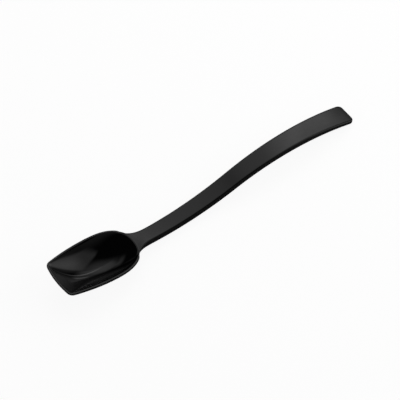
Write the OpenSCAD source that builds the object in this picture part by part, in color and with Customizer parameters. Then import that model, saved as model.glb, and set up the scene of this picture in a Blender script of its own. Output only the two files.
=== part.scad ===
// Serving spoon for a salad bar: bowl, neck and handle moulded in one piece.
// Sizes are in millimetres. Up is +Z and the handle points along +X.
// The spoon lies at rest on the heel of its bowl and the tip of its handle.

/* [Overall] */
// Length from the front lip to the tip of the handle
spoon_length = 254; // [215:1:320]

/* [Bowl outline] */
// Length of the bowl from the front lip to the back of its rim
bowl_length = 66; // [54:0.5:85]
// Width across the widest part of the rim
bowl_width = 40.6; // [34:0.2:56]
// Width of the front lip with its corners drawn sharp
lip_width = 31; // [22:0.5:32]
// Distance from the lip back to the widest part
widest_from_lip = 38.5; // [28:0.5:46]
// Radius of the two front corners
corner_radius = 4.8; // [3.2:0.1:7]
// How far the middle of the lip stands ahead of its corners
lip_bow = 1.1; // [0.1:0.1:2]

/* [Bowl inside] */
// Depth of the deepest place below the rim
bowl_depth = 12.6; // [8:0.2:20]
// Distance from the lip to the deepest place
deepest_from_lip = 35; // [30:0.5:42]

/* [Walls] */
// Width of the flat top of the rim
rim_width = 1.6; // [1:0.1:2.5]
// Height of the upright edge of the rim
rim_height = 1.8; // [1.2:0.1:3]
// Thickness at the deepest place
floor_thickness = 2.2; // [1.5:0.1:4]
// Radius on the edges of the rim
rim_rounding = 0.35; // [0.2:0.05:0.6]

/* [Handle] */
// Distance from the lip to the narrowest part of the neck
neck_from_lip = 76.5; // [71:0.5:95]
// Width at the neck
neck_width = 11.6; // [8:0.2:16]
// Width half way along the handle
middle_width = 14.2; // [10:0.2:20]
// Width at the tip
tip_width = 18; // [10:0.2:26]
// Thickness of the neck and the rise
handle_thickness = 5.4; // [3.5:0.1:7]
// Thickness at the tip
tip_thickness = 3.2; // [2:0.1:5]
// Radius of the two corners of the tip
tip_corner_radius = 3.9; // [2:0.1:5]
// Radius on the long edges of the handle
edge_rounding = 0.7; // [0.4:0.1:1]

/* [Handle curve] */
// Distance from the lip to where the handle starts to rise
rise_from_lip = 67.5; // [64:0.5:75]
// Distance from the lip to the steepest place
steepest_from_lip = 148; // [120:1:170]
// Distance from the lip to the crest
crest_from_lip = 215; // [190:1:235]
// Steepest slope of the handle against the rim, in degrees
rise_angle = 22.8; // [8:0.2:30]

/* [Hidden] */
// Exponent of the back of the rim outline, where 2 is an ellipse
back_power = 2.4;
// Exponents of the depth along the middle: 1 is a straight ramp, and more is a flatter floor
lip_ramp_power = 2;
back_wall_power = 2.1;
// Exponents of the depth across the bowl, at the deepest place and at the lip
across_power = 2;
lip_across_power = 5.5;
// Exponent of how the section changes from the lip to the deepest place
across_change_power = 5.5;
// Exponent that makes the walls steeper under the rim, where 1 leaves them as they are
wall_power = 0.845;
// Exponent of how the handle thins towards the tip
thinning_power = 3;
// Place of the neck curve's turning point between the bowl and the neck
neck_pull_share = 0.2;
// Part of the tip's rounding that is taken from the long edges there
edge_share = 0.6;

// Rim outline
// Columns run round the bowl: lip, corner and side, then the back, on each half.
lip_columns = 5;
corner_columns = 6;
side_columns = 11;
back_columns = 18;
half_columns = lip_columns + corner_columns + side_columns + back_columns;
columns = 2 * half_columns;

side_sag = (bowl_width - lip_width) / 2;
side_radius = (widest_from_lip ^ 2 + side_sag ^ 2) / (2 * side_sag);
side_centre_y = bowl_width / 2 - side_radius;
corner_x = lip_bow + corner_radius;
corner_reach = side_radius - corner_radius;
corner_y = side_centre_y + sqrt(corner_reach ^ 2 - (widest_from_lip - corner_x) ^ 2);
corner_turn = atan2(corner_y - side_centre_y, widest_from_lip - corner_x);
back_length = bowl_length - widest_from_lip;

// Point of the slightly bowed lip, for a share of its half width
function lip_point(s, margin) = [margin + lip_bow * s ^ 2, corner_y * s];

// Point of an arc round a centre, turned by an angle from facing forward
function arc_point(x, y, radius, a) = [x - radius * cos(a), y + radius * sin(a)];

// Point of the rounded back, from the widest place at 90 degrees to the middle of the back at 0
function back_point(a, margin) = [
    widest_from_lip + (back_length - margin) * cos(a) ^ (2 / back_power),
    (bowl_width / 2 - margin) * sin(a) ^ (2 / back_power)
];

// One half of the rim outline, moved inward by a margin
function half_outline(margin) = [
    for (i = [0 : lip_columns - 1])
        lip_point(i / lip_columns, margin),
    for (i = [0 : corner_columns - 1])
        arc_point(corner_x, corner_y, corner_radius - margin, corner_turn * i / corner_columns),
    for (i = [0 : side_columns - 1])
        arc_point(
            widest_from_lip,
            side_centre_y,
            side_radius - margin,
            corner_turn + (90 - corner_turn) * i / side_columns
        ),
    for (i = [0 : back_columns])
        back_point(90 * (1 - i / back_columns), margin)
];

function outline(margin) =
    let(half = half_outline(margin))
    concat(half, [for (i = [half_columns - 1 : -1 : 1]) [half[i].x, -half[i].y]]);

// Half width of the same outline at a distance from the lip
function half_width_in(x, margin) =
    x < lip_bow + margin
    ? corner_y * sqrt(max(0, x - margin) / lip_bow)
    : x < corner_x - (corner_radius - margin) * cos(corner_turn)
    ? corner_y + sqrt((corner_radius - margin) ^ 2 - (corner_x - x) ^ 2)
    : x < widest_from_lip
    ? side_centre_y + sqrt((side_radius - margin) ^ 2 - (widest_from_lip - x) ^ 2)
    : (bowl_width / 2 - margin)
        * max(0, 1 - ((x - widest_from_lip) / (back_length - margin)) ^ back_power) ^ (1 / back_power);

// Hollow
// Place of x between the deepest place at 0 and the lip or the back of the outline at 1
function ahead_share(x, margin) = min(1, max(0, (deepest_from_lip - x) / (deepest_from_lip - margin)));

function behind_share(x, margin) =
    min(1, max(0, (x - deepest_from_lip) / (bowl_length - margin - deepest_from_lip)));

// Share of the full depth on the middle line
function middle_share(x, margin) =
    (1 - ahead_share(x, margin) ^ lip_ramp_power) * (1 - behind_share(x, margin) ^ back_wall_power);

// Exponent of the section across the bowl, which grows towards the lip
function section_power(x, margin) =
    let(change = ahead_share(x, margin) ^ across_change_power)
    across_power + (lip_across_power - across_power) * change;

// Share of the full depth at a point, which is zero all along the outline
function depth_share(p, margin) =
    let(out = min(1, abs(p.y) / half_width_in(p.x, margin)))
    middle_share(p.x, margin) * (1 - out ^ section_power(p.x, margin)) ^ wall_power;

// Ring of the hollow: run 0 is the deepest place and run 1 is the outline moved inward by the margin
function hollow_ring(run, top, bottom, margin) = [
    for (p = outline(margin))
        let(place = [deepest_from_lip + (p.x - deepest_from_lip) * run, p.y * run])
        let(share = run == 1 ? 0 : depth_share(place, margin))
        [place.x, place.y, top + (bottom - top) * share]
];

function level(ring, z) = [for (p = ring) [p.x, p.y, z]];

// Rings run from the deepest place inside over the rim to the underside
inner_steps = 11;
outer_steps = 10;
run_power = 1.3;
round_inset = rim_rounding * (1 - cos(45));
underside = -bowl_depth - floor_thickness;

inner_rings = [
    for (i = [1 : inner_steps])
        hollow_ring(1 - (1 - i / inner_steps) ^ run_power, -rim_rounding, -bowl_depth, rim_width)
];

rim_rings = [
    level(outline(rim_width - round_inset), -round_inset),
    level(outline(rim_width - rim_rounding), 0),
    level(outline(rim_rounding), 0),
    level(outline(round_inset), -round_inset),
    level(outline(0), -rim_rounding)
];

// The neck joins over these rings of the outside, the lowest at the thickness of the handle
neck_low_share = (handle_thickness - rim_height) / (-underside - rim_height);
neck_low_run = (1 - neck_low_share) ^ (1 / back_wall_power);
neck_runs = [1, (1 + neck_low_run) / 2, neck_low_run];

outer_runs = concat(neck_runs, [for (i = [outer_steps - 1 : -1 : 1]) neck_low_run * i / outer_steps]);

outer_rings = [for (run = outer_runs) hollow_ring(run, -rim_height, underside, 0)];

rings = concat(inner_rings, rim_rings, outer_rings);

// Handle
// Quadratic through the widths at the neck, the middle and the tip
function half_width(x) =
    let(s = (x - neck_from_lip) / (spoon_length - neck_from_lip))
    (neck_width + (4 * middle_width - 3 * neck_width - tip_width) * s
        + (2 * neck_width + 2 * tip_width - 4 * middle_width) * s ^ 2) / 2;

// Thickness stays nearly even along the rise and falls off towards the tip
function thickness(x) =
    let(s = (x - neck_from_lip) / (spoon_length - neck_from_lip))
    handle_thickness - (handle_thickness - tip_thickness) * s ^ thinning_power;

// The top follows two arcs that meet at the steepest place
rise_radius = (steepest_from_lip - rise_from_lip) / sin(rise_angle);
crest_radius = (crest_from_lip - steepest_from_lip) / sin(rise_angle);
crest_height = (rise_radius + crest_radius) * (1 - cos(rise_angle));

function top_height(x) =
    x < rise_from_lip ? 0
    : x < steepest_from_lip ? rise_radius - sqrt(rise_radius ^ 2 - (x - rise_from_lip) ^ 2)
    : crest_height - crest_radius + sqrt(crest_radius ^ 2 - (x - crest_from_lip) ^ 2);

// How far an arc of a radius, ending at the tip, has fallen away at x
function fall(x, radius) = radius - sqrt(radius ^ 2 - max(0, x - spoon_length + radius) ^ 2);

// Loop of one upright section: the top from +Y to -Y, down, back underneath, and up
loop_reach = 8;
loop_points = 4 * loop_reach + 10;

function section(x) =
    let(edge = fall(x, edge_rounding))
    let(w = half_width(x) - fall(x, tip_corner_radius) - edge)
    let(top = top_height(x) - edge)
    let(bottom = top_height(x) - thickness(x) + edge)
    let(r = edge_rounding - edge * edge_share)
    let(c = r * (1 - cos(45)))
    let(across = [for (k = [-loop_reach : loop_reach]) -(w - r) * k / loop_reach])
    concat(
        [for (y = across) [x, y, top]],
        [[x, c - w, top - c], [x, -w, top - r], [x, -w, bottom + r], [x, c - w, bottom + c]],
        [for (y = across) [x, -y, bottom]],
        [[x, w - c, bottom + c], [x, w, bottom + r], [x, w, top - r], [x, w - c, top - c]]
    );

// The neck grows out of a window in the back of the bowl
window_top = len(inner_rings) + 2;
window_low = window_top + 5;

function ring_index(row, column) = row * columns + column % columns;

window_loop = concat(
    [for (k = [-loop_reach : loop_reach]) ring_index(window_top, half_columns + k)],
    [for (row = [window_top + 1 : window_low - 1]) ring_index(row, half_columns + loop_reach)],
    [for (k = [loop_reach : -1 : -loop_reach]) ring_index(window_low, half_columns + k)],
    [for (row = [window_low - 1 : -1 : window_top + 1]) ring_index(row, half_columns - loop_reach)]
);

ring_points = [for (ring = rings) each ring];

neck_section = section(neck_from_lip);

// Each point runs from the window along a curve that turns into the neck
function neck_loop(s) = [
    for (k = [0 : loop_points - 1])
        let(from = ring_points[window_loop[k]], to = neck_section[k])
        let(pull = [from.x + (to.x - from.x) * neck_pull_share, to.y, to.z])
        from * (1 - s) ^ 2 + pull * 2 * s * (1 - s) + to * s ^ 2
];

neck_steps = 7;
handle_steps = 40;
tip_steps = 4;
straight_end = spoon_length - tip_corner_radius;
round_end = spoon_length - edge_rounding;

loops = concat(
    [for (i = [1 : neck_steps]) neck_loop(i / neck_steps)],
    [
        for (i = [1 : handle_steps])
            section(neck_from_lip + (straight_end - neck_from_lip) * i / handle_steps)
    ],
    [
        for (i = [1 : tip_steps])
            section(straight_end + (round_end - straight_end) * sin(90 * i / tip_steps))
    ],
    [for (a = [45, 90]) section(round_end + edge_rounding * sin(a))]
);

loop_start = len(ring_points);
floor_index = loop_start + len(loops) * loop_points;
floor_points = [[deepest_from_lip, 0, -bowl_depth], [deepest_from_lip, 0, underside]];
points = concat(ring_points, [for (loop = loops) each loop], floor_points);

function loop_index(s, k) =
    s == 0 ? window_loop[k % loop_points] : loop_start + (s - 1) * loop_points + k % loop_points;

// Two triangles for a patch between two rows
function patch(a, b, c, d) = [[a, b, c], [a, c, d]];

function in_window(row, i) =
    row >= window_top && row < window_low
    && i >= half_columns - loop_reach && i < half_columns + loop_reach;

ring_faces = [
    for (row = [0 : len(rings) - 2], i = [0 : columns - 1])
        if (!in_window(row, i))
            each patch(
                ring_index(row, i),
                ring_index(row + 1, i),
                ring_index(row + 1, i + 1),
                ring_index(row, i + 1)
            )
];

loop_faces = [
    for (s = [0 : len(loops) - 1], k = [0 : loop_points - 1])
        each patch(
            loop_index(s, k),
            loop_index(s + 1, k),
            loop_index(s + 1, k + 1),
            loop_index(s, k + 1)
        )
];

// The innermost rings close round the deepest place, and the tip ends in one flat face
closing_faces = [
    for (i = [0 : columns - 1])
        [floor_index, ring_index(0, i), ring_index(0, i + 1)],
    for (i = [0 : columns - 1])
        [floor_index + 1, ring_index(len(rings) - 1, i + 1), ring_index(len(rings) - 1, i)],
    [for (k = [loop_points - 1 : -1 : 0]) loop_index(len(loops), k)]
];

// Rest
// The spoon tips back until the heel of the bowl and the tip of the handle touch the table together
tip_points = [for (i = [len(loops) - tip_steps - 4 : len(loops) - 1]) each loops[i]];

function drop(list, a) = min([for (p = list) p.z * cos(a) - p.x * sin(a)]);

function rest_angle(low, high, tries) =
    let(mid = (low + high) / 2)
    tries == 0 ? mid
    : drop(tip_points, mid) > drop(ring_points, mid) ? rest_angle(mid, high, tries - 1)
    : rest_angle(low, mid, tries - 1);

tip_back = rest_angle(0, 45, 24);
reach = [for (p = points) p.x * cos(tip_back) + p.z * sin(tip_back)];
rest_x = (min(reach) + max(reach)) / 2;
rest_z = drop(points, tip_back);

module spoon() {
    color("#1c1c1d")
        translate([-rest_x, 0, -rest_z])
            rotate([0, tip_back, 0])
                polyhedron(points = points, faces = concat(ring_faces, loop_faces, closing_faces));
}

spoon();
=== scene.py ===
# %% [markdown]
# A serving spoon for a salad bar, moulded in one piece of black plastic.
# The CAD part gives its true size and its place on the table. This lesson dresses it:
# a finer skin worked out with the same formulas, a moulded plastic finish that is polished
# in the bowl and satin on the handle, soft studio lights, and a camera on the near left.
# Blender works in metres here, while the spoon's sizes are easier to read in millimetres.

import bpy
import numpy as np
from mathutils import Matrix


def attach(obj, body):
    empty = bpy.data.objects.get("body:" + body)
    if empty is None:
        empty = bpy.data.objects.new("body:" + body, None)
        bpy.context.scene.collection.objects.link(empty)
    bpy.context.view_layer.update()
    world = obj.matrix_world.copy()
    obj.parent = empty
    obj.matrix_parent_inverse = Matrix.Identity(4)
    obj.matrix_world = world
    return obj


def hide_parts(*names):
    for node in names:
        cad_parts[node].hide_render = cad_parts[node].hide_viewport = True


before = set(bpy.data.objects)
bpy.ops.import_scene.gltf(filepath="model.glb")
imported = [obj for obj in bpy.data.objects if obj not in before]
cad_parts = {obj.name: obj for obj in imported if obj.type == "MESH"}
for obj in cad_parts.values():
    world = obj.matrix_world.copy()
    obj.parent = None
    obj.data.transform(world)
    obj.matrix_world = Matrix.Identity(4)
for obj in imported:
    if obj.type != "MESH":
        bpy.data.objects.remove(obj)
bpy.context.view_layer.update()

MM = 0.001

# %% [markdown]
# Sizes. They repeat those of the part's source, so that the finer skin lies on the CAD part.
# Lengths run back from the bowl's front lip, and heights are measured from its rim.

# %% Sizes in millimetres
SPOON_LENGTH = 254.0
BOWL_LENGTH, BOWL_WIDTH, LIP_WIDTH = 66.0, 40.6, 31.0
WIDEST_FROM_LIP, CORNER_RADIUS, LIP_BOW = 38.5, 4.8, 1.1
BOWL_DEPTH, DEEPEST_FROM_LIP = 12.6, 35.0
RIM_WIDTH, RIM_HEIGHT, RIM_ROUNDING, FLOOR_THICKNESS = 1.6, 1.8, 0.35, 2.2
NECK_FROM_LIP, NECK_WIDTH, MIDDLE_WIDTH, TIP_WIDTH = 76.5, 11.6, 14.2, 18.0
HANDLE_THICKNESS, TIP_THICKNESS, TIP_CORNER_RADIUS, EDGE_ROUNDING = 5.4, 3.2, 3.9, 0.7
RISE_FROM_LIP, STEEPEST_FROM_LIP, CREST_FROM_LIP, RISE_ANGLE = 67.5, 148.0, 215.0, 22.8
BACK_POWER, LIP_RAMP_POWER, BACK_WALL_POWER = 2.4, 2.0, 2.1
ACROSS_POWER, LIP_ACROSS_POWER, ACROSS_CHANGE_POWER, WALL_POWER = 2.0, 5.5, 5.5, 0.845
THINNING_POWER, NECK_PULL_SHARE, EDGE_SHARE = 3.0, 0.2, 0.6
UNDERSIDE = -BOWL_DEPTH - FLOOR_THICKNESS
print("bowl", BOWL_LENGTH, "x", BOWL_WIDTH, "mm, handle", HANDLE_THICKNESS, "mm thick")

# %% [markdown]
# The rim seen from above is a shovel shape: a slightly bowed lip, two rounded corners,
# long sides that bulge a little, and a full round back. The lip and the corners let the
# spoon scrape along the wall of a food pan. Each stretch is one curve in closed form, and
# a margin moves them all inward together, so that one function gives every ring of the wall.

# %% Arcs and columns of the outline
SIDE_SAG = (BOWL_WIDTH - LIP_WIDTH) / 2
SIDE_RADIUS = (WIDEST_FROM_LIP**2 + SIDE_SAG**2) / (2 * SIDE_SAG)
SIDE_Y = BOWL_WIDTH / 2 - SIDE_RADIUS
CORNER_X = LIP_BOW + CORNER_RADIUS
CORNER_Y = SIDE_Y + np.sqrt((SIDE_RADIUS - CORNER_RADIUS) ** 2 - (WIDEST_FROM_LIP - CORNER_X) ** 2)
CORNER_TURN = np.arctan2(CORNER_Y - SIDE_Y, WIDEST_FROM_LIP - CORNER_X)
BACK_LENGTH = BOWL_LENGTH - WIDEST_FROM_LIP
LIP_COLUMNS, CORNER_COLUMNS, SIDE_COLUMNS, BACK_COLUMNS = 5, 6, 11, 18
HALF_COLUMNS = LIP_COLUMNS + CORNER_COLUMNS + SIDE_COLUMNS + BACK_COLUMNS
COLUMNS = 2 * HALF_COLUMNS
print("long sides of", round(SIDE_RADIUS), "mm radius, columns round the rim:", COLUMNS)


# %% Rim outline
def outline(margin):
    """Points of the rim outline moved inward by a margin, from the lip's middle round the far side.

    Lip: x = margin + bow * s^2, y = half width * s. Corner and side: arcs whose radius loses the
    margin. Back: x^n + y^n = 1 in shares of its length and half width, an ellipse with fuller
    shoulders."""
    s = np.arange(LIP_COLUMNS) / LIP_COLUMNS
    lip = np.stack([margin + LIP_BOW * s**2, CORNER_Y * s], 1)
    a = CORNER_TURN * np.arange(CORNER_COLUMNS) / CORNER_COLUMNS
    r = CORNER_RADIUS - margin
    corner = np.stack([CORNER_X - r * np.cos(a), CORNER_Y + r * np.sin(a)], 1)
    a = CORNER_TURN + (np.pi / 2 - CORNER_TURN) * np.arange(SIDE_COLUMNS) / SIDE_COLUMNS
    r = SIDE_RADIUS - margin
    side = np.stack([WIDEST_FROM_LIP - r * np.cos(a), SIDE_Y + r * np.sin(a)], 1)
    a = np.pi / 2 * (1 - np.arange(BACK_COLUMNS + 1) / BACK_COLUMNS)
    n = 2 / BACK_POWER
    back = np.stack(
        [
            WIDEST_FROM_LIP + (BACK_LENGTH - margin) * np.cos(a).clip(0) ** n,
            (BOWL_WIDTH / 2 - margin) * np.sin(a).clip(0) ** n,
        ],
        1,
    )
    half = np.concatenate([lip, corner, side, back])
    return np.concatenate([half, half[-2:0:-1] * [1, -1]])


print("widest:", round(float(outline(0)[:, 1].max() * 2), 2), "mm")


# %% Half width of the outline
def half_width_in(x, margin):
    """Half width of the same outline at a distance from the lip, stretch by stretch.

    Lip: half width * sqrt(run / bow). Corner and side: the arc's middle plus
    sqrt(radius^2 - run^2). Back: half width * (1 - run^n)^(1/n)."""
    lip = CORNER_Y * np.sqrt((x - margin).clip(0) / LIP_BOW)
    corner = CORNER_Y + np.sqrt(((CORNER_RADIUS - margin) ** 2 - (CORNER_X - x) ** 2).clip(0))
    side = SIDE_Y + np.sqrt((SIDE_RADIUS - margin) ** 2 - (WIDEST_FROM_LIP - x) ** 2)
    run = ((x - WIDEST_FROM_LIP).clip(0) / (BACK_LENGTH - margin)).clip(0, 1)
    back = (BOWL_WIDTH / 2 - margin) * (1 - run**BACK_POWER) ** (1 / BACK_POWER)
    corner_end = CORNER_X - (CORNER_RADIUS - margin) * np.cos(CORNER_TURN)
    ahead_of_back = np.where(x < corner_end, corner, side)
    ahead_of_back = np.where(x < LIP_BOW + margin, lip, ahead_of_back)
    return np.where(x < WIDEST_FROM_LIP, ahead_of_back, back)


inner_half_width = half_width_in(np.array([WIDEST_FROM_LIP]), RIM_WIDTH)[0]
print("widest inside the rim:", round(float(2 * inner_half_width), 2), "mm")

# %% [markdown]
# The hollow is a landscape: its depth at a place is the depth on the middle line, times how
# far the section has risen towards the rim there. Along the middle the floor drops from the
# lip in an easy ramp that food slides up, and climbs again in a steep wall at the back.
# Across, the section is a parabola that turns square towards the lip. Since the depth is
# zero all along the outline, the same function makes the inside and the underside.


# %% Depth of the hollow
def depth_share(x, y, margin):
    """Share of the full depth at a point.

    (1 - ahead^p) * (1 - behind^q) along the middle, times (1 - out^n)^w across. Ahead and behind
    run from 0 at the deepest place to 1 at the outline, and out is |y| over the half width there.
    The power n grows from a parabola's towards the lip, as a share ahead^c of the change."""
    ahead = ((DEEPEST_FROM_LIP - x) / (DEEPEST_FROM_LIP - margin)).clip(0, 1)
    behind = ((x - DEEPEST_FROM_LIP) / (BOWL_LENGTH - margin - DEEPEST_FROM_LIP)).clip(0, 1)
    along = (1 - ahead**LIP_RAMP_POWER) * (1 - behind**BACK_WALL_POWER)
    power = ACROSS_POWER + (LIP_ACROSS_POWER - ACROSS_POWER) * ahead**ACROSS_CHANGE_POWER
    out = (np.abs(y) / np.maximum(half_width_in(x, margin), 1e-6)).clip(0, 1)
    return along * (1 - out**power) ** WALL_POWER


def hollow_ring(run, top, bottom, margin):
    """Ring of the hollow: the outline drawn in towards the deepest place, at its depth there."""
    rim = outline(margin)
    x = DEEPEST_FROM_LIP + (rim[:, 0] - DEEPEST_FROM_LIP) * run
    y = rim[:, 1] * run
    share = depth_share(x, y, margin) if run < 1 else 0 * x
    return np.stack([x, y, top + (bottom - top) * share], 1)


deepest_place = np.array([DEEPEST_FROM_LIP]), np.array([0.0])
print("share of the depth at the deepest place:", float(depth_share(*deepest_place, RIM_WIDTH)[0]))

# %% [markdown]
# The bowl's skin is a stack of rings: out from the floor, over the rounded rim, and back
# in under the bowl. Rings crowd together where the surface turns fast, because the
# subdivision that follows rounds off whatever lies between two rings.

# %% Rings of the bowl
INNER_STEPS, OUTER_STEPS = 14, 10
FIRST_RUN, RUN_POWER = 0.16, 1.3
ROUND_INSET = RIM_ROUNDING * (1 - np.cos(np.pi / 4))


def flat_ring(margin, z):
    """The outline moved inward by a margin, level at a height."""
    rim = outline(margin)
    return np.column_stack([rim, np.full(len(rim), z)])


step_share = np.arange(INNER_STEPS + 1) / INNER_STEPS
runs = FIRST_RUN + (1 - FIRST_RUN) * (1 - (1 - step_share) ** RUN_POWER)
inner_rings = [hollow_ring(run, -RIM_ROUNDING, -BOWL_DEPTH, RIM_WIDTH) for run in runs]
rim_rings = [
    flat_ring(RIM_WIDTH - ROUND_INSET, -ROUND_INSET),
    flat_ring(RIM_WIDTH - RIM_ROUNDING, 0.0),
    flat_ring(RIM_ROUNDING, 0.0),
    flat_ring(ROUND_INSET, -ROUND_INSET),
    flat_ring(0.0, -RIM_ROUNDING),
]
neck_low_share = (HANDLE_THICKNESS - RIM_HEIGHT) / (-UNDERSIDE - RIM_HEIGHT)
neck_low_run = (1 - neck_low_share) ** (1 / BACK_WALL_POWER)
under = FIRST_RUN + (neck_low_run - FIRST_RUN) * np.arange(OUTER_STEPS)[::-1] / OUTER_STEPS
outer_runs = [1, (1 + neck_low_run) / 2, neck_low_run, *under]
outer_rings = [hollow_ring(run, -RIM_HEIGHT, UNDERSIDE, 0.0) for run in outer_runs]
rings = np.array(inner_rings + rim_rings + outer_rings)
print("rings:", len(rings), "of", COLUMNS, "points")

# %% [markdown]
# Rings that shrink to one point would leave a star of thin triangles on the floor of the
# bowl, just where a polished surface shows it. The last ring is closed by a square net
# instead: four stretches of the ring are its sides, and its inside is blended from them.

# %% Net that closes a ring
NET = COLUMNS // 4
NET_TURN = NET // 2


def net_plan(ring):
    """Plan places of a square net whose border is the ring.

    Each inner place adds the blend between its two side borders and the blend between its two end
    borders, and takes away the blend of the four corners, which both of them hold."""
    k = (NET_TURN + np.arange(COLUMNS)) % COLUMNS
    p = ring[k, :2]
    t = np.linspace(0, 1, NET + 1)
    a = p[: NET + 1]
    b = p[NET : 2 * NET + 1]
    c = p[2 * NET : 3 * NET + 1][::-1]
    d = np.concatenate([p[3 * NET :], p[:1]])[::-1]
    u, v = t[:, None, None], t[None, :, None]
    edges = (1 - v) * a[:, None] + v * c[:, None] + (1 - u) * d[None] + u * b[None]
    corners = (1 - u) * (1 - v) * a[0] + u * (1 - v) * a[-1] + (1 - u) * v * c[0] + u * v * c[-1]
    return edges - corners


def net_index(ring_start, first_new):
    """Vertex numbers of the same net: the ring's own on the border, new ones inside."""
    k = ring_start + (NET_TURN + np.arange(COLUMNS)) % COLUMNS
    grid = np.zeros((NET + 1, NET + 1), int)
    grid[:, 0] = k[: NET + 1]
    grid[NET, :] = k[NET : 2 * NET + 1]
    grid[:, NET] = k[2 * NET : 3 * NET + 1][::-1]
    grid[0, :] = np.append(k[3 * NET :], k[0])[::-1]
    grid[1:NET, 1:NET] = first_new + np.arange((NET - 1) ** 2).reshape(NET - 1, NET - 1)
    return grid


def quads(grid):
    """The four corners of each cell of a grid of vertex numbers."""
    return np.stack([grid[:-1, :-1], grid[1:, :-1], grid[1:, 1:], grid[:-1, 1:]], -1).reshape(-1, 4)


def net_points(ring, top, bottom, margin):
    """Inner places of the net, lifted onto the hollow."""
    plan = net_plan(ring)[1:-1, 1:-1].reshape(-1, 2)
    share = depth_share(plan[:, 0], plan[:, 1], margin)
    return np.column_stack([plan, top + (bottom - top) * share])


floor_net = net_points(rings[0], -RIM_ROUNDING, -BOWL_DEPTH, RIM_WIDTH)
under_net = net_points(rings[-1], -RIM_HEIGHT, UNDERSIDE, 0.0)
print("net:", NET, "cells a side, floor at", round(float(floor_net[:, 2].min()), 2), "mm")

# %% [markdown]
# The handle is a flat bar that bends in an S: it leaves the rim level, rises in one arc and
# turns down in a second that meets the first where it is steepest. Its width follows a
# quadratic, and it thins out only near its tip. A section is a loop of points with rounded
# long edges, and near the end the section shrinks along the tip's own rounding.


# %% Width and thickness of the handle
def half_width(x):
    """Quadratic through the half widths at the neck, the middle and the tip."""
    s = (x - NECK_FROM_LIP) / (SPOON_LENGTH - NECK_FROM_LIP)
    first = 4 * MIDDLE_WIDTH - 3 * NECK_WIDTH - TIP_WIDTH
    second = 2 * NECK_WIDTH + 2 * TIP_WIDTH - 4 * MIDDLE_WIDTH
    return (NECK_WIDTH + first * s + second * s**2) / 2


def thickness(x):
    """Handle thickness less a cube of the way along, so that mostly the end thins."""
    s = (x - NECK_FROM_LIP) / (SPOON_LENGTH - NECK_FROM_LIP)
    return HANDLE_THICKNESS - (HANDLE_THICKNESS - TIP_THICKNESS) * s**THINNING_POWER


steepest_size = 2 * half_width(STEEPEST_FROM_LIP), thickness(STEEPEST_FROM_LIP)
print("where it is steepest:", "%.1f mm wide, %.1f mm thick" % steepest_size)

# %% The S of the handle
RISE_SINE = np.sin(np.radians(RISE_ANGLE))
RISE_RADIUS = (STEEPEST_FROM_LIP - RISE_FROM_LIP) / RISE_SINE
CREST_RADIUS = (CREST_FROM_LIP - STEEPEST_FROM_LIP) / RISE_SINE
CREST_HEIGHT = (RISE_RADIUS + CREST_RADIUS) * (1 - np.cos(np.radians(RISE_ANGLE)))


def top_height(x):
    """Height of the handle's top: two arcs of a circle that meet at the steepest place."""
    rise = RISE_RADIUS - np.sqrt((RISE_RADIUS**2 - (x - RISE_FROM_LIP) ** 2).clip(0))
    crest = np.sqrt((CREST_RADIUS**2 - (x - CREST_FROM_LIP) ** 2).clip(0))
    crest = CREST_HEIGHT - CREST_RADIUS + crest
    return np.where(x < RISE_FROM_LIP, 0.0, np.where(x < STEEPEST_FROM_LIP, rise, crest))


print("crest", round(float(CREST_HEIGHT), 2), "mm over the rim")
print("arcs of", round(RISE_RADIUS), "and", round(CREST_RADIUS), "mm radius")

# %% Sections of the handle
REACH, SIDE_POINTS = 8, 4
TOP_POINTS = 2 * REACH + 1
BOTTOM_START = TOP_POINTS + SIDE_POINTS
BOTTOM_END = BOTTOM_START + TOP_POINTS
LOOP_POINTS = BOTTOM_END + SIDE_POINTS


def fall(x, radius):
    """How far an arc that ends at the tip has fallen away at x: radius - sqrt(radius^2 - run^2)."""
    return radius - np.sqrt((radius**2 - (x - SPOON_LENGTH + radius).clip(0) ** 2).clip(0))


def sections(x):
    """Loops of points at distances x: the top from +Y to -Y, down, back underneath, and up.

    The half width loses what the tip's corner and edge have fallen away, and each long edge is
    rounded by a point at 0, 45 and 90 degrees of its arc."""
    x = np.atleast_1d(np.asarray(x, float))[:, None]
    edge = fall(x, EDGE_ROUNDING)
    w = half_width(x) - fall(x, TIP_CORNER_RADIUS) - edge
    top = top_height(x) - edge
    bottom = top_height(x) - thickness(x) + edge
    r = EDGE_ROUNDING - edge * EDGE_SHARE
    c = r * (1 - np.cos(np.pi / 4))
    across = -(w - r) * np.linspace(-1, 1, TOP_POINTS)[None]
    flat = np.ones_like(across)
    y = np.hstack([across, c - w, -w, -w, c - w, -across, w - c, w, w, w - c])
    going_down = [top - c, top - r, bottom + r, bottom + c]
    z = np.hstack([top * flat, *going_down, bottom * flat, *going_down[::-1]])
    return np.stack([x * np.ones_like(y), y, z], -1)


print("points in a section:", LOOP_POINTS)

# %% [markdown]
# The neck is where the two shapes become one moulding. A window is left open in the back
# of the bowl's rings, with as many points on its edge as a section of the handle has. Each of
# them runs along a curve, start * (1 - s)^2 + pull * 2s(1 - s) + end * s^2. Its pull lies in
# line with the handle and close to the bowl, so the neck turns there and ends straight.
# Subdivision then rounds the seam, as a mould's radius does. The window reaches from the outer
# edge of the rim's flat top down to the ring that is level with the handle's underside.

# %% Window in the back of the bowl
window_top = len(inner_rings) + 2
window_low = window_top + SIDE_POINTS + 1


def ring_index(row, column):
    """Vertex number on the rings, which close on themselves."""
    return np.asarray(row) * COLUMNS + np.asarray(column) % COLUMNS


across = np.arange(-REACH, REACH + 1)
down = np.arange(window_top + 1, window_low)
window_loop = np.concatenate(
    [
        ring_index(window_top, HALF_COLUMNS + across),
        ring_index(down, HALF_COLUMNS + REACH),
        ring_index(window_low, HALF_COLUMNS - across),
        ring_index(down[::-1], HALF_COLUMNS - REACH),
    ]
)
print("window:", 2 * REACH, "columns and", window_low - window_top, "rows of the rings")

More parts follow.
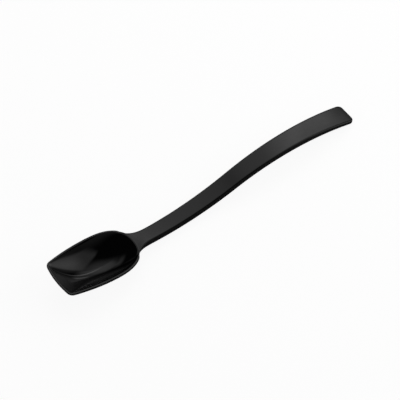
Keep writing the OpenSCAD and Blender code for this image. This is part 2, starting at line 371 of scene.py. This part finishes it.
# %% Neck, handle and tip
NECK_STEPS, HANDLE_STEPS, TIP_STEPS = 7, 40, 4
ring_points = rings.reshape(-1, 3)
start = ring_points[window_loop]
end = sections(NECK_FROM_LIP)[0]
pull = end.copy()
pull[:, 0] = start[:, 0] + (end[:, 0] - start[:, 0]) * NECK_PULL_SHARE
s = (np.arange(1, NECK_STEPS + 1) / NECK_STEPS)[:, None, None]
neck_loops = start * (1 - s) ** 2 + pull * 2 * s * (1 - s) + end * s**2
straight_end = SPOON_LENGTH - TIP_CORNER_RADIUS
round_end = SPOON_LENGTH - EDGE_ROUNDING
handle_share = np.arange(1, HANDLE_STEPS + 1) / HANDLE_STEPS
handle_x = NECK_FROM_LIP + (straight_end - NECK_FROM_LIP) * handle_share
tip_share = np.sin(np.pi / 2 * np.arange(1, TIP_STEPS + 1) / TIP_STEPS)
tip_x = straight_end + (round_end - straight_end) * tip_share
edge_x = round_end + EDGE_ROUNDING * np.sin(np.radians([45, 90]))
loops = np.concatenate([neck_loops, sections(np.concatenate([handle_x, tip_x, edge_x]))])
print("loops along the neck and the handle:", len(loops))

# %% [markdown]
# All the pieces of skin share their vertices where they meet, so the spoon is one closed
# mesh, as the real one is one moulding. At rest it lies on the heel of its bowl and on the
# tip of its handle, so the last step tips it back until both touch the table.

# %% One closed cage
loop_start = len(ring_points)
floor_start = loop_start + len(loops) * LOOP_POINTS
under_start = floor_start + len(floor_net)
cage = np.concatenate([ring_points, loops.reshape(-1, 3), floor_net, under_net])

row, col = np.meshgrid(np.arange(len(rings) - 1), np.arange(COLUMNS), indexing="ij")
in_window = (row >= window_top) & (row < window_low)
in_window &= (col >= HALF_COLUMNS - REACH) & (col < HALF_COLUMNS + REACH)
row, col = row[~in_window], col[~in_window]
corners = ((row, col), (row, col + 1), (row + 1, col + 1), (row + 1, col))
ring_faces = np.stack([ring_index(*corner) for corner in corners], -1)
loop_numbers = np.arange(loop_start, floor_start).reshape(-1, LOOP_POINTS)
loop_numbers = np.vstack([window_loop, loop_numbers])
loop_faces = quads(np.hstack([loop_numbers, loop_numbers[:, :1]]))[:, ::-1]
floor_faces = quads(net_index(0, floor_start))[:, ::-1]
under_faces = quads(net_index((len(rings) - 1) * COLUMNS, under_start))

last = loop_numbers[-1]
top_row = last[:TOP_POINTS]
bottom_row = last[BOTTOM_START:BOTTOM_END][::-1]
tip_faces = quads(np.stack([top_row, bottom_row], 1))
near_cap = last[TOP_POINTS - 1 : BOTTOM_START + 1]
far_cap = np.append(last[BOTTOM_END - 1 :], last[0])
squares = (*ring_faces, *loop_faces, *floor_faces, *under_faces, *tip_faces)
faces = [face.tolist() for face in (*squares, near_cap, far_cap)]
print("cage:", len(cage), "points,", len(faces), "faces")

# %% Tip it back until the heel and the tip touch the table
TIP_LOOPS, HALVINGS = 10, 40
heel = ring_points
tip = loops[-TIP_LOOPS:].reshape(-1, 3)


def drop(points, angle):
    """Lowest height of the points once the spoon is tipped back by an angle: z cos - x sin."""
    return float((points[:, 2] * np.cos(angle) - points[:, 0] * np.sin(angle)).min())


low_angle, high_angle = 0.0, np.pi / 4
for _ in range(HALVINGS):
    tip_back = (low_angle + high_angle) / 2
    tip_is_higher = drop(tip, tip_back) > drop(heel, tip_back)
    low_angle, high_angle = (tip_back, high_angle) if tip_is_higher else (low_angle, tip_back)

TURN = np.array(
    [[np.cos(tip_back), 0, np.sin(tip_back)], [0, 1, 0], [-np.sin(tip_back), 0, np.cos(tip_back)]]
)
turned = cage @ TURN.T
REST = np.array([(turned[:, 0].min() + turned[:, 0].max()) / 2, 0.0, turned[:, 2].min()])


def to_rest(points):
    """From lengths behind the lip and heights over the rim, in mm, to metres on the table."""
    return (np.asarray(points) @ TURN.T - REST) * MM


print("tipped back by", round(float(np.degrees(tip_back)), 2), "degrees")

# %% [markdown]
# Two numbers are stored with each point of the cage. One says how polished the tool was
# there: the hollow is polished like glass so that food slides out, and the rest is a fine
# satin. The other marks the edges that wear: the lip and the rim scrape along food pans,
# and the handle's long edges and tip are rubbed by hands.

# %% Polish and wear
FRONT_REACH = 14.0
RIM_WEAR, LIP_WEAR, EDGE_WEAR = 0.35, 1.0, 0.5
WORN_TIP_LOOPS, FIRST_TIP_WEAR, LAST_TIP_WEAR = 6, 0.3, 1.0
polish = np.zeros(len(cage))
polish[: len(inner_rings) * COLUMNS] = 1
polish[floor_start:under_start] = 1
ring_wear = np.zeros((len(rings), COLUMNS))
front = ((FRONT_REACH - rings[:, :, 0]) / FRONT_REACH).clip(0, 1)
worn_rows = slice(len(inner_rings) - 1, len(inner_rings) + len(rim_rings) + 1)
ring_wear[worn_rows] = RIM_WEAR + (LIP_WEAR - RIM_WEAR) * front[worn_rows]
loop_wear = np.zeros((len(loops), LOOP_POINTS))
loop_wear[:, TOP_POINTS - 1 : BOTTOM_START] = EDGE_WEAR
loop_wear[:, BOTTOM_END - 1 :] = EDGE_WEAR
loop_wear[:, 0] = EDGE_WEAR
tip_wear = np.linspace(FIRST_TIP_WEAR, LAST_TIP_WEAR, WORN_TIP_LOOPS)[:, None]
loop_wear[-WORN_TIP_LOOPS:] = np.maximum(loop_wear[-WORN_TIP_LOOPS:], tip_wear)
unworn = np.zeros(len(floor_net) + len(under_net))
wear = np.concatenate([ring_wear.ravel(), loop_wear.ravel(), unworn])
print("polished points:", int(polish.sum()), "worn points:", int((wear > 0).sum()))

# %% The spoon's mesh
mesh = bpy.data.meshes.new("spoon_skin")
mesh.from_pydata(to_rest(cage).tolist(), [], faces)
for name, values in (("polish", polish), ("wear", wear)):
    mesh.attributes.new(name, "FLOAT", "POINT").data.foreach_set("value", values.astype(np.float32))
mesh.validate()
mesh.shade_smooth()
spoon = bpy.data.objects.new("spoon_skin", mesh)
bpy.context.collection.objects.link(spoon)
finer = spoon.modifiers.new("finer", "SUBSURF")
finer.levels = finer.render_levels = 2
finer.boundary_smooth = "ALL"
print("skin:", len(mesh.polygons), "cage faces, subdivided twice")

# %% [markdown]
# The plastic. Written colours are screen colours, and the shader wants linear light, so one
# function turns them round. Another adds a node and links its inputs, to keep the recipe short.


# %% Helpers for materials
def linear(code):
    """Screen colour written as six hex digits, as linear light with an alpha of 1."""
    c = np.array([int(code[i : i + 2], 16) / 255 for i in (0, 2, 4)])
    c = np.where(c <= 0.04045, c / 12.92, ((c + 0.055) / 1.055) ** 2.4)
    return (*(float(v) for v in c), 1.0)


def node(tree, kind, inputs=None, **settings):
    """Adds a node, sets its options, and sets or links each named or numbered input.

    Inputs that share a name go by number. On Mix 0 is the share, 2 and 3 are the numbers and 6
    and 7 the colours to mix. On Map Range 6 to 10 are the value and the limits as vectors."""
    made = tree.nodes.new("ShaderNode" + kind)
    for name, value in settings.items():
        setattr(made, name, value)
    for key, value in (inputs or {}).items():
        if isinstance(value, bpy.types.NodeSocket):
            tree.links.new(value, made.inputs[key])
        else:
            made.inputs[key].default_value = value
    return made


def new_material(name):
    """An empty node material and its tree."""
    material = bpy.data.materials.new(name)
    material.use_nodes = True
    material.node_tree.nodes.clear()
    return material, material.node_tree


print("middle grey, 808080, in linear light:", round(linear("808080")[0], 3))

# %% [markdown]
# The real one is moulded in black polycarbonate, which bends light by an index of 1.58 and
# hardly scatters it: nearly all that is seen of it is reflection. So its look lies in its
# roughness and in a very small relief, and not in its colour. The tool's satin leaves a grain
# of a fifth of a millimetre, the polished hollow has soft waves of some 9 mm where the plastic
# shrank, and everything has fine wiping marks along its length. First come these patterns,
# each a noise whose scale is worked out from its real size.

# %% Patterns on the plastic
plastic, tree = new_material("moulded_black_polycarbonate")
place = node(tree, "TexCoord").outputs["Object"]


def cells_of(size_mm):
    """Noise scale whose features are about a size in millimetres: 1 over the size in metres."""
    return 1 / (size_mm * MM)


CLOUD, GRAIN, WAVES, WIPING = cells_of(14), cells_of(0.22), cells_of(9), cells_of(0.5)
ALONG = (0.06, 1.0, 1.0)
cloud = {"Vector": place, "Scale": CLOUD, "Detail": 3.0, "Roughness": 0.55}
cloud = node(tree, "TexNoise", cloud).outputs["Fac"]
grain = node(tree, "TexNoise", {"Vector": place, "Scale": GRAIN, "Detail": 2.0}).outputs["Fac"]
waves = node(tree, "TexNoise", {"Vector": place, "Scale": WAVES, "Detail": 1.0}).outputs["Fac"]
long_way = node(tree, "Mapping", {"Vector": place, "Scale": ALONG}).outputs["Vector"]
wiping = node(tree, "TexNoise", {"Vector": long_way, "Scale": WIPING, "Detail": 2.0}).outputs["Fac"]
print("cells in a metre:", [round(scale) for scale in (CLOUD, GRAIN, WAVES, WIPING)])

# %% [markdown]
# The polish and wear stored with the mesh say where each finish lies. Roughness drifts a
# little with the cloud, and wiping and wear add to it. Worn edges are also a touch paler,
# because fine scratches scatter some light.

# %% Roughness and colour
CLOUD_LOW, CLOUD_HIGH = 0.3, 0.7
SATIN_LOW, SATIN_HIGH = 0.08, 0.12
GLOSS_LOW, GLOSS_HIGH = 0.02, 0.05
STREAK_ROUGHNESS, WEAR_ROUGHNESS = 0.06, 0.1
polished = node(tree, "Attribute", attribute_name="polish").outputs["Fac"]
worn = node(tree, "Attribute", attribute_name="wear").outputs["Fac"]
clouded = {"Value": cloud, "From Min": CLOUD_LOW, "From Max": CLOUD_HIGH}
satin = {**clouded, "To Min": SATIN_LOW, "To Max": SATIN_HIGH}
satin = node(tree, "MapRange", satin).outputs["Result"]
gloss = {**clouded, "To Min": GLOSS_LOW, "To Max": GLOSS_HIGH}
gloss = node(tree, "MapRange", gloss).outputs["Result"]
surface = node(tree, "Mix", {0: polished, 2: satin, 3: gloss}, data_type="FLOAT").outputs[0]
streaks = node(tree, "Math", {0: wiping, 1: STREAK_ROUGHNESS}, operation="MULTIPLY").outputs[0]
rubbed = {0: worn, 1: WEAR_ROUGHNESS, 2: streaks}
rubbed = node(tree, "Math", rubbed, operation="MULTIPLY_ADD").outputs[0]
roughness = node(tree, "Math", {0: surface, 1: rubbed}, operation="ADD").outputs[0]

BLACK, PALER_BLACK, SCUFFED_BLACK = linear("060607"), linear("09090a"), linear("141415")
tint = node(tree, "Mix", {0: cloud, 6: BLACK, 7: PALER_BLACK}, data_type="RGBA").outputs[2]
scuffed = node(tree, "Math", {0: worn, 1: wiping}, operation="MULTIPLY").outputs[0]
colour = node(tree, "Mix", {0: scuffed, 6: tint, 7: SCUFFED_BLACK}, data_type="RGBA").outputs[2]
print("black in linear light:", round(BLACK[0], 5), "where scuffed:", round(SCUFFED_BLACK[0], 5))

# %% Relief and shader
WAVE_HEIGHT, GRAIN_HEIGHT = 0.02 * MM, 0.003 * MM
plain = node(tree, "Math", {0: 1.0, 1: polished}, operation="SUBTRACT").outputs[0]
grain_height = node(tree, "Math", {0: grain, 1: plain}, operation="MULTIPLY").outputs[0]
waviness = {"Height": waves, "Strength": 1.0, "Distance": WAVE_HEIGHT}
relief = node(tree, "Bump", waviness).outputs[0]
graininess = {"Height": grain_height, "Strength": 1.0, "Distance": GRAIN_HEIGHT, "Normal": relief}
relief = node(tree, "Bump", graininess).outputs[0]
finish = {"Base Color": colour, "Roughness": roughness, "Normal": relief, "IOR": 1.58}
shader = node(tree, "BsdfPrincipled", finish)
node(tree, "OutputMaterial", {"Surface": shader.outputs[0]})
mesh.materials.append(plastic)
print("plastic nodes:", len(tree.nodes))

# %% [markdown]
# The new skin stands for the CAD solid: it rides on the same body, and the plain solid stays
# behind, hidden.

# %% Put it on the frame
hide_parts("spoon")
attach(spoon, "root")

# %% [markdown]
# The camera stands on the near left and looks down at the bowl, from far enough to flatten
# the perspective. It was found by lining the outline up with the photograph's: where it
# aims, its direction round and above the spoon, how far it is rolled, and its lens.

# %% Camera
AIM = np.array([-2.687, 5.628, -0.09]) * MM
AROUND, ABOVE, ROLL = np.radians([-29.728, 55.759, -6.945])
DISTANCE, LENS = 1196.2 * MM, 149.43
back = np.array([np.sin(AROUND) * np.cos(ABOVE), -np.cos(AROUND) * np.cos(ABOVE), np.sin(ABOVE)])
level = np.array([np.cos(AROUND), np.sin(AROUND), 0.0])
over = np.cross(back, level)
right = level * np.cos(ROLL) + over * np.sin(ROLL)
up = np.cross(back, right)
camera = bpy.data.objects.new("camera", bpy.data.cameras.new("camera"))
camera.data.lens = LENS
stand = np.eye(4)
stand[:3, :3] = np.stack([right, up, back], 1)
stand[:3, 3] = AIM + back * DISTANCE
camera.matrix_world = Matrix(stand.tolist())
bpy.context.collection.objects.link(camera)
bpy.context.scene.camera = camera
print("camera at", [round(float(v), 3) for v in stand[:3, 3]], "m")

# %% [markdown]
# A glossy black thing is lit by what it mirrors. Photographers set large soft panels
# around it, with light that fades towards their edges, and leave the camera's side
# dark. Each panel here is a card with that fade in its light, which the camera doesn't see.
# The cards are clear besides their glow, so that one in front doesn't hide another, and the
# table cuts off the lower part of the low ones. The glow's fade is worked out on the card's
# own UV map: in each direction it eases off over the outer share, and the two are multiplied.

# %% One soft panel
PANEL_AIM = to_rest([40.0, 0.0, 0.0])


def soft_panel(name, around, above, distance, size, turn, strength, fade):
    """A glowing card that faces the bowl from a direction in degrees, turned in its own plane.

    Size and distance are in metres, strength is 1 for white, and fade is the outer share of
    the half width and half height over which the light eases to nothing."""
    a, e, t = np.radians([around, above, turn])
    facing = np.array([np.cos(a) * np.cos(e), np.sin(a) * np.cos(e), np.sin(e)])
    flat = np.array([-np.sin(a), np.cos(a), 0.0])
    wide = flat * np.cos(t) + np.cross(facing, flat) * np.sin(t)
    tall = np.cross(facing, wide)
    centre = PANEL_AIM + facing * distance
    steps = np.array([[-1, -1], [1, -1], [1, 1], [-1, 1]]) / 2
    corners = centre + steps[:, :1] * size[0] * wide + steps[:, 1:] * size[1] * tall
    card = bpy.data.meshes.new(name)
    card.from_pydata(corners.tolist(), [], [(0, 1, 2, 3)])
    card.uv_layers.new(name="card").data.foreach_set("uv", (steps + 0.5).ravel().tolist())
    material, tree = new_material(name)
    uv = node(tree, "UVMap", uv_map="card").outputs[0]
    middle = {0: uv, 1: (2, 2, 0), 2: (-1, -1, 0)}
    middle = node(tree, "VectorMath", middle, operation="MULTIPLY_ADD").outputs[0]
    out = node(tree, "VectorMath", {0: middle}, operation="ABSOLUTE").outputs[0]
    ease = {6: out, 7: (1, 1, 1), 8: (1 - fade, 1 - fade, 0), 9: (0, 0, 0), 10: (1, 1, 1)}
    smooth = {"data_type": "FLOAT_VECTOR", "interpolation_type": "SMOOTHSTEP"}
    eased = node(tree, "MapRange", ease, **smooth).outputs[1]
    share = node(tree, "SeparateXYZ", {0: eased}).outputs
    both = node(tree, "Math", {0: share[0], 1: share[1]}, operation="MULTIPLY").outputs[0]
    glow = node(tree, "Math", {0: both, 1: strength}, operation="MULTIPLY").outputs[0]
    light = node(tree, "Emission", {"Color": (1, 1, 1, 1), "Strength": glow})
    clear = node(tree, "BsdfTransparent")
    veil = node(tree, "AddShader", {0: light.outputs[0], 1: clear.outputs[0]})
    node(tree, "OutputMaterial", {"Surface": veil.outputs[0]})
    card.materials.append(material)
    panel = bpy.data.objects.new(name, card)
    bpy.context.collection.objects.link(panel)
    panel.visible_camera = False
    return panel


print("panels face", [round(float(v), 3) for v in PANEL_AIM], "m, the middle of the hollow")

# %% [markdown]
# The panels' places, sizes and strengths were found by comparing what the spoon mirrors with
# the photograph. The wide ones on the right and overhead light the handle and the tongue in
# the bowl, and the narrow strip draws the thin bright curve near its front corner.

# %% Where the panels stand
panels = [
    soft_panel("panel_right", 343.8, 5.1, 0.91, (1.59, 1.31), -46, 1.11, 1.00),
    soft_panel("panel_strip", 32.2, 33.6, 1.17, (1.50, 0.15), 65, 0.94, 0.95),
    soft_panel("panel_far_low", 62.2, 2.3, 1.32, (2.48, 0.97), 3, 0.62, 1.00),
    soft_panel("panel_small", 36.9, 15.5, 1.28, (0.53, 0.16), 39, 0.45, 0.62),
    soft_panel("panel_front", 166.7, 6.5, 0.60, (2.50, 0.68), 12, 0.42, 0.12),
    soft_panel("panel_over", 44.9, 53.8, 0.74, (1.59, 1.02), -4, 0.36, 0.91),
    soft_panel("panel_right_high", 331.3, 32.8, 1.11, (1.41, 0.95), -14, 0.30, 0.45),
    soft_panel("panel_back", 52.6, 40.7, 1.40, (2.02, 1.06), 28, 0.19, 0.37),
    soft_panel("panel_left_high", 98.0, 34.6, 0.60, (0.54, 0.16), 44, 0.19, 0.90),
    soft_panel("panel_camera_side", 256.9, 2.0, 0.60, (2.50, 1.38), -9, 0.11, 0.92),
]
print("soft panels:", len(panels))

# %% [markdown]
# The table is a wide pale sheet. The camera sees it and the room as white, and a part of
# its colour answers to the lights, so it keeps the spoon's soft shadow. The plastic mirrors
# only that lit part: a table that is white to it as well would turn the handle's side grey,
# where the photograph shows a dark band.

# %% Table
TABLE_GLOW, TABLE_HALF = 0.91, 4.0
table_corners = np.array([[-1, -1, 0], [1, -1, 0], [1, 1, 0], [-1, 1, 0]]) * TABLE_HALF
sheet = bpy.data.meshes.new("table")
sheet.from_pydata(table_corners.tolist(), [], [(0, 1, 2, 3)])
table = bpy.data.objects.new("table", sheet)
bpy.context.collection.objects.link(table)
pale, tree = new_material("table_pale")
rays = node(tree, "LightPath").outputs
straight = {0: rays["Is Camera Ray"], 1: rays["Is Transmission Ray"]}
seen = node(tree, "Math", straight, operation="ADD").outputs[0]
seen = node(tree, "Math", {0: seen, 1: TABLE_GLOW}, operation="MULTIPLY").outputs[0]
paper = node(tree, "BsdfDiffuse", {"Color": linear("9C9C9C")})
white = node(tree, "Emission", {"Color": (1, 1, 1, 1), "Strength": seen})
both = node(tree, "AddShader", {0: paper.outputs[0], 1: white.outputs[0]})
node(tree, "OutputMaterial", {"Surface": both.outputs[0]})
sheet.materials.append(pale)
print("table:", 2 * TABLE_HALF, "m wide, glow to the camera:", TABLE_GLOW)

# %% Room
ROOM_GLOW = 0.01
room = bpy.data.worlds.new("room")
bpy.context.scene.world = room
room.use_nodes = True
tree = room.node_tree
tree.nodes.clear()
rays = node(tree, "LightPath").outputs
straight = {0: rays["Is Camera Ray"], 1: rays["Is Transmission Ray"]}
seen = node(tree, "Math", straight, operation="MAXIMUM").outputs[0]
level_of = node(tree, "MapRange", {"Value": seen, "To Min": ROOM_GLOW, "To Max": 1.0}).outputs[0]
air = node(tree, "Background", {"Color": (1, 1, 1, 1), "Strength": level_of})
node(tree, "OutputWorld", {"Surface": air.outputs[0]})
bpy.context.scene.view_settings.view_transform = "Standard"
print("room: white to the camera,", ROOM_GLOW, "to everything else")
